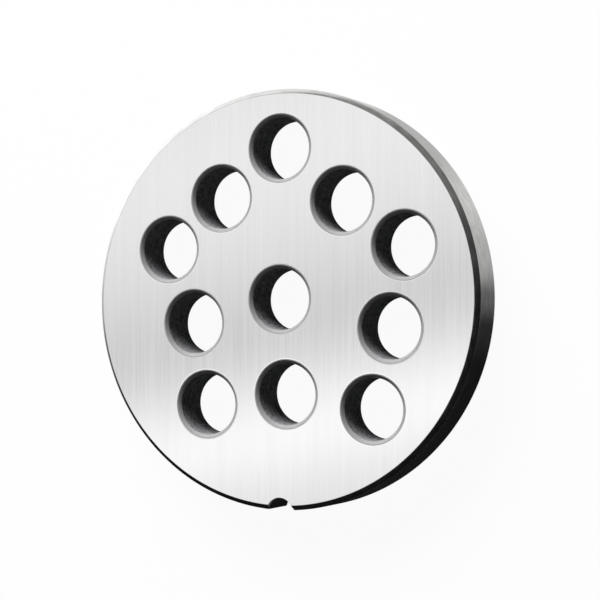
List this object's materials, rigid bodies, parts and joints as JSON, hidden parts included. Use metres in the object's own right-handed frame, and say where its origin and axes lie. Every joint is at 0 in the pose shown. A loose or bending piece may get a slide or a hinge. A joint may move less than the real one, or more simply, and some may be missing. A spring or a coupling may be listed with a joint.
{
  "type": "meat grinder plate",
  "caption": "Round flat steel plate for a meat grinder, with countersunk round meat holes about a centre bore and a half-round locating notch in its rim.",
  "frame": {"origin": "centre of the rear face, on the plate's axis, where the plate lies on a surface", "axes": "+Z along the plate's axis, out of the ground front face that the knife runs on; -Y through the locating notch; +X to the right of the notch's opposite side as the front face is seen with the notch at the bottom"},
  "size_m": [0.082, 0.0819, 0.009],
  "materials": {
    "ground_steel": "both faces ground bright in one direction, bores and rim dark"
  },
  "bodies": {
    "root": {"grinder_plate": "ground_steel"}
  },
  "joints": []
}
